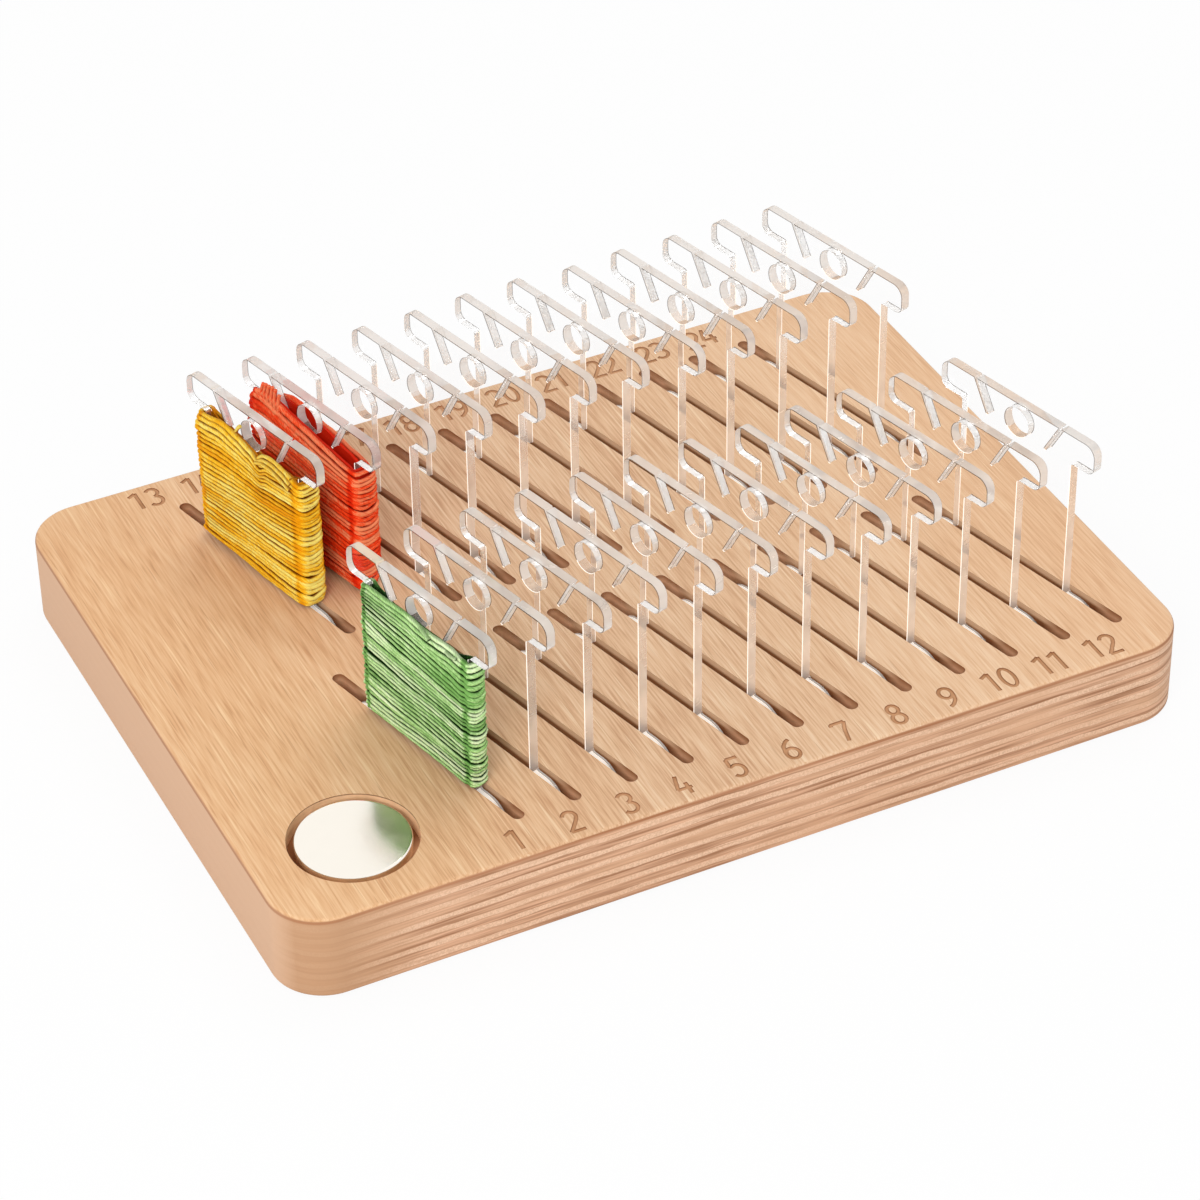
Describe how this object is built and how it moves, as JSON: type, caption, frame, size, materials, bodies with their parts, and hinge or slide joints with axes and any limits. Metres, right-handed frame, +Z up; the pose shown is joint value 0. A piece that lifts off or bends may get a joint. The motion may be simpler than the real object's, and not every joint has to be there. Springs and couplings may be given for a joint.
{
  "type": "embroidery bobbin organizer",
  "caption": "Plywood board with slanting slots that hold clear flat floss bobbins upright, some wound with floss, and a round magnet for needles.",
  "frame": {"origin": "on the board's underside, below the middle of the board", "axes": "+X along the board's long side, to the right as seen from the edge with the lower slot numbers; +Y from that front edge to the back edge; +Z up, the way the bobbins lift out"},
  "size_m": [0.179, 0.131, 0.0523],
  "materials": {
    "plywood": "sanded bare plywood, light peach-tan face veneer, plies showing on the edges",
    "nickel": "mirror-bright nickel plate",
    "clear_acrylic": "clear colourless sheet with glossy faces and finely frosted cut edges",
    "floss_green": "soft twisted cotton with a slight sheen",
    "floss_yellow": "soft twisted cotton with a slight sheen",
    "floss_red": "soft twisted cotton with a slight sheen"
  },
  "bodies": {
    "organizer_board": {"board": "plywood", "magnet_disc": "nickel"},
    "numbered_bobbin_01": {"bobbin_01": "clear_acrylic", "floss_core_01": "floss_green", "floss_turns_01": "floss_green"},
    "numbered_bobbin_02": {"bobbin_02": "clear_acrylic"},
    "numbered_bobbin_03": {"bobbin_03": "clear_acrylic"},
    "numbered_bobbin_04": {"bobbin_04": "clear_acrylic"},
    "numbered_bobbin_05": {"bobbin_05": "clear_acrylic"},
    "numbered_bobbin_06": {"bobbin_06": "clear_acrylic"},
    "numbered_bobbin_07": {"bobbin_07": "clear_acrylic"},
    "numbered_bobbin_08": {"bobbin_08": "clear_acrylic"},
    "numbered_bobbin_09": {"bobbin_09": "clear_acrylic"},
    "numbered_bobbin_10": {"bobbin_10": "clear_acrylic"},
    "numbered_bobbin_11": {"bobbin_11": "clear_acrylic"},
    "numbered_bobbin_12": {"bobbin_12": "clear_acrylic"},
    "numbered_bobbin_13": {"bobbin_13": "clear_acrylic", "floss_core_13": "floss_yellow", "floss_turns_13": "floss_yellow"},
    "numbered_bobbin_14": {"bobbin_14": "clear_acrylic", "floss_core_14": "floss_red", "floss_turns_14": "floss_red"},
    "numbered_bobbin_15": {"bobbin_15": "clear_acrylic"},
    "numbered_bobbin_16": {"bobbin_16": "clear_acrylic"},
    "numbered_bobbin_17": {"bobbin_17": "clear_acrylic"},
    "numbered_bobbin_18": {"bobbin_18": "clear_acrylic"},
    "numbered_bobbin_19": {"bobbin_19": "clear_acrylic"},
    "numbered_bobbin_20": {"bobbin_20": "clear_acrylic"},
    "numbered_bobbin_21": {"bobbin_21": "clear_acrylic"},
    "numbered_bobbin_22": {"bobbin_22": "clear_acrylic"},
    "numbered_bobbin_23": {"bobbin_23": "clear_acrylic"},
    "numbered_bobbin_24": {"bobbin_24": "clear_acrylic"}
  },
  "joints": [
    {"name": "bobbin_01_lift", "type": "slide", "parent": "organizer_board", "child": "numbered_bobbin_01", "axis": [0, 0, 1], "range_m": [0, 0.05]},
    {"name": "bobbin_02_lift", "type": "slide", "parent": "organizer_board", "child": "numbered_bobbin_02", "axis": [0, 0, 1], "range_m": [0, 0.05]},
    {"name": "bobbin_03_lift", "type": "slide", "parent": "organizer_board", "child": "numbered_bobbin_03", "axis": [0, 0, 1], "range_m": [0, 0.05]},
    {"name": "bobbin_04_lift", "type": "slide", "parent": "organizer_board", "child": "numbered_bobbin_04", "axis": [0, 0, 1], "range_m": [0, 0.05]},
    {"name": "bobbin_05_lift", "type": "slide", "parent": "organizer_board", "child": "numbered_bobbin_05", "axis": [0, 0, 1], "range_m": [0, 0.05]},
    {"name": "bobbin_06_lift", "type": "slide", "parent": "organizer_board", "child": "numbered_bobbin_06", "axis": [0, 0, 1], "range_m": [0, 0.05]},
    {"name": "bobbin_07_lift", "type": "slide", "parent": "organizer_board", "child": "numbered_bobbin_07", "axis": [0, 0, 1], "range_m": [0, 0.05]},
    {"name": "bobbin_08_lift", "type": "slide", "parent": "organizer_board", "child": "numbered_bobbin_08", "axis": [0, 0, 1], "range_m": [0, 0.05]},
    {"name": "bobbin_09_lift", "type": "slide", "parent": "organizer_board", "child": "numbered_bobbin_09", "axis": [0, 0, 1], "range_m": [0, 0.05]},
    {"name": "bobbin_10_lift", "type": "slide", "parent": "organizer_board", "child": "numbered_bobbin_10", "axis": [0, 0, 1], "range_m": [0, 0.05]},
    {"name": "bobbin_11_lift", "type": "slide", "parent": "organizer_board", "child": "numbered_bobbin_11", "axis": [0, 0, 1], "range_m": [0, 0.05]},
    {"name": "bobbin_12_lift", "type": "slide", "parent": "organizer_board", "child": "numbered_bobbin_12", "axis": [0, 0, 1], "range_m": [0, 0.05]},
    {"name": "bobbin_13_lift", "type": "slide", "parent": "organizer_board", "child": "numbered_bobbin_13", "axis": [0, 0, 1], "range_m": [0, 0.05]},
    {"name": "bobbin_14_lift", "type": "slide", "parent": "organizer_board", "child": "numbered_bobbin_14", "axis": [0, 0, 1], "range_m": [0, 0.05]},
    {"name": "bobbin_15_lift", "type": "slide", "parent": "organizer_board", "child": "numbered_bobbin_15", "axis": [0, 0, 1], "range_m": [0, 0.05]},
    {"name": "bobbin_16_lift", "type": "slide", "parent": "organizer_board", "child": "numbered_bobbin_16", "axis": [0, 0, 1], "range_m": [0, 0.05]},
    {"name": "bobbin_17_lift", "type": "slide", "parent": "organizer_board", "child": "numbered_bobbin_17", "axis": [0, 0, 1], "range_m": [0, 0.05]},
    {"name": "bobbin_18_lift", "type": "slide", "parent": "organizer_board", "child": "numbered_bobbin_18", "axis": [0, 0, 1], "range_m": [0, 0.05]},
    {"name": "bobbin_19_lift", "type": "slide", "parent": "organizer_board", "child": "numbered_bobbin_19", "axis": [0, 0, 1], "range_m": [0, 0.05]},
    {"name": "bobbin_20_lift", "type": "slide", "parent": "organizer_board", "child": "numbered_bobbin_20", "axis": [0, 0, 1], "range_m": [0, 0.05]},
    {"name": "bobbin_21_lift", "type": "slide", "parent": "organizer_board", "child": "numbered_bobbin_21", "axis": [0, 0, 1], "range_m": [0, 0.05]},
    {"name": "bobbin_22_lift", "type": "slide", "parent": "organizer_board", "child": "numbered_bobbin_22", "axis": [0, 0, 1], "range_m": [0, 0.05]},
    {"name": "bobbin_23_lift", "type": "slide", "parent": "organizer_board", "child": "numbered_bobbin_23", "axis": [0, 0, 1], "range_m": [0, 0.05]},
    {"name": "bobbin_24_lift", "type": "slide", "parent": "organizer_board", "child": "numbered_bobbin_24", "axis": [0, 0, 1], "range_m": [0, 0.05]}
  ]
}
